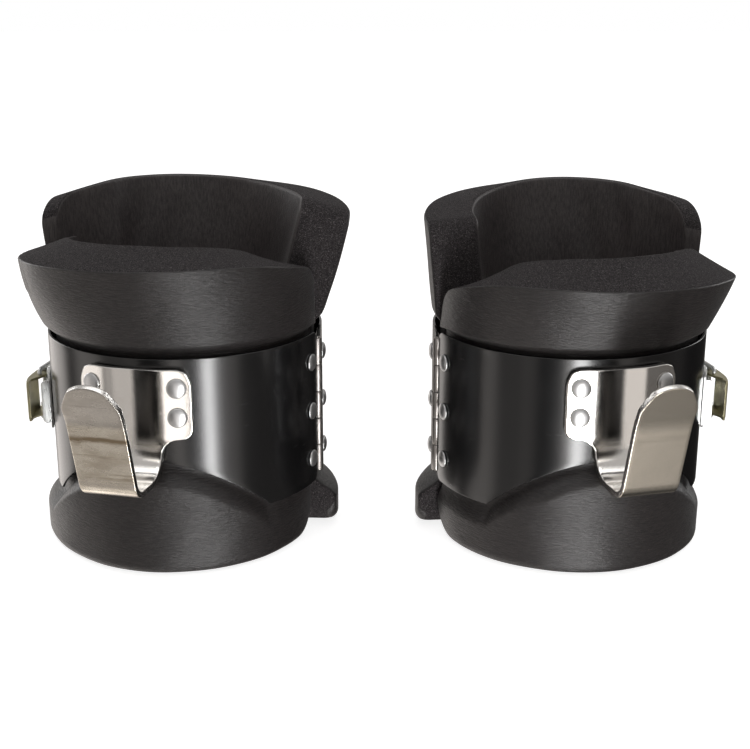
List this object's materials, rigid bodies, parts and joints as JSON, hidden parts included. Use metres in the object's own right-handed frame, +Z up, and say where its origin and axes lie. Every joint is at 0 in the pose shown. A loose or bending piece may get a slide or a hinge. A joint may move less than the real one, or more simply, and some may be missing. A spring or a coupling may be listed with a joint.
{
  "type": "inversion boots",
  "caption": "Pair of hinged, foam-lined steel ankle cuffs with front bar hooks and side draw latches, for hanging upside down from a bar.",
  "frame": {"origin": "middle of the pair's bounding box, on the floor that the boots stand on", "axes": "+Z up, +X towards the wearer's boot on the right of the picture, hooks towards -Y"},
  "size_m": [0.412, 0.2302, 0.2028],
  "materials": {
    "black_paint": "gloss black paint on sheet steel",
    "foam": "matt black closed-cell foam with a fine skin and porous cut faces",
    "chrome": "bright plated steel plate with sheared edges",
    "bright_zinc": "bright zinc plate",
    "passivated_zinc": "zinc plate with a yellow passivate",
    "nickelled_steel": "nickel-plated steel, satin"
  },
  "bodies": {
    "left_rear_half": {"left_hinge_pin": "nickelled_steel", "left_hinge_rear_leaf": "nickelled_steel", "left_hinge_rivet_rear_1": "nickelled_steel", "left_hinge_rivet_rear_2": "nickelled_steel", "left_hinge_rivet_rear_3": "nickelled_steel", "left_keeper": "bright_zinc", "left_keeper_rivet_1": "bright_zinc", "left_keeper_rivet_2": "bright_zinc", "left_rear_pad": "foam", "left_rear_shell": "black_paint"},
    "left_front_half": {"left_front_pad": "foam", "left_front_shell": "black_paint", "left_hinge_front_leaf": "nickelled_steel", "left_hinge_rivet_front_1": "nickelled_steel", "left_hinge_rivet_front_2": "nickelled_steel", "left_hinge_rivet_front_3": "nickelled_steel", "left_hook": "chrome", "left_hook_rivet_1": "nickelled_steel", "left_hook_rivet_2": "nickelled_steel", "left_hook_rivet_3": "nickelled_steel", "left_hook_rivet_4": "nickelled_steel", "left_latch_base": "bright_zinc", "left_latch_pin": "bright_zinc", "left_latch_rivet_1": "bright_zinc", "left_latch_rivet_2": "bright_zinc"},
    "left_lever": {"left_latch_lever": "passivated_zinc"},
    "left_bail": {"left_latch_bail": "bright_zinc"},
    "right_rear_half": {"right_hinge_pin": "nickelled_steel", "right_hinge_rear_leaf": "nickelled_steel", "right_hinge_rivet_rear_1": "nickelled_steel", "right_hinge_rivet_rear_2": "nickelled_steel", "right_hinge_rivet_rear_3": "nickelled_steel", "right_keeper": "bright_zinc", "right_keeper_rivet_1": "bright_zinc", "right_keeper_rivet_2": "bright_zinc", "right_rear_pad": "foam", "right_rear_shell": "black_paint"},
    "right_front_half": {"right_front_pad": "foam", "right_front_shell": "black_paint", "right_hinge_front_leaf": "nickelled_steel", "right_hinge_rivet_front_1": "nickelled_steel", "right_hinge_rivet_front_2": "nickelled_steel", "right_hinge_rivet_front_3": "nickelled_steel", "right_hook": "chrome", "right_hook_rivet_1": "nickelled_steel", "right_hook_rivet_2": "nickelled_steel", "right_hook_rivet_3": "nickelled_steel", "right_hook_rivet_4": "nickelled_steel", "right_latch_base": "bright_zinc", "right_latch_pin": "bright_zinc", "right_latch_rivet_1": "bright_zinc", "right_latch_rivet_2": "bright_zinc"},
    "right_lever": {"right_latch_lever": "passivated_zinc"},
    "right_bail": {"right_latch_bail": "bright_zinc"}
  },
  "joints": [
    {"name": "left_cuff_hinge", "type": "hinge", "parent": "left_rear_half", "child": "left_front_half", "pos_m": [-0.0349, 0.00737, 0.079], "axis": [0, 0, 1], "range_deg": [0, 90]},
    {"name": "left_latch_lever_pivot", "type": "hinge", "parent": "left_front_half", "child": "left_lever", "pos_m": [-0.19993, 0.02695, 0.082], "axis": [0, 0, -1], "range_deg": [0, 120]},
    {"name": "left_latch_bail_pivot", "type": "hinge", "parent": "left_lever", "child": "left_bail", "pos_m": [-0.20038, 0.01683, 0.082], "axis": [0, 0, -1], "range_deg": [-120, 0]},
    {"name": "right_boot_apart", "type": "slide", "parent": "left_rear_half", "child": "right_rear_half", "axis": [1, 0, 0], "range_m": [0, 0.25]},
    {"name": "right_cuff_hinge", "type": "hinge", "parent": "right_rear_half", "child": "right_front_half", "pos_m": [0.03504, 0.00601, 0.079], "axis": [0, 0, -1], "range_deg": [0, 90]},
    {"name": "right_latch_lever_pivot", "type": "hinge", "parent": "right_front_half", "child": "right_lever", "pos_m": [0.19971, 0.02847, 0.082], "axis": [0, 0, 1], "range_deg": [0, 120]},
    {"name": "right_latch_bail_pivot", "type": "hinge", "parent": "right_lever", "child": "right_bail", "pos_m": [0.20033, 0.01836, 0.082], "axis": [0, 0, 1], "range_deg": [-120, 0]}
  ],
  "couplings": [
    {"joint": "left_latch_bail_pivot", "follows": "left_latch_lever_pivot", "ratio": -1},
    {"joint": "right_latch_bail_pivot", "follows": "right_latch_lever_pivot", "ratio": -1}
  ]
}
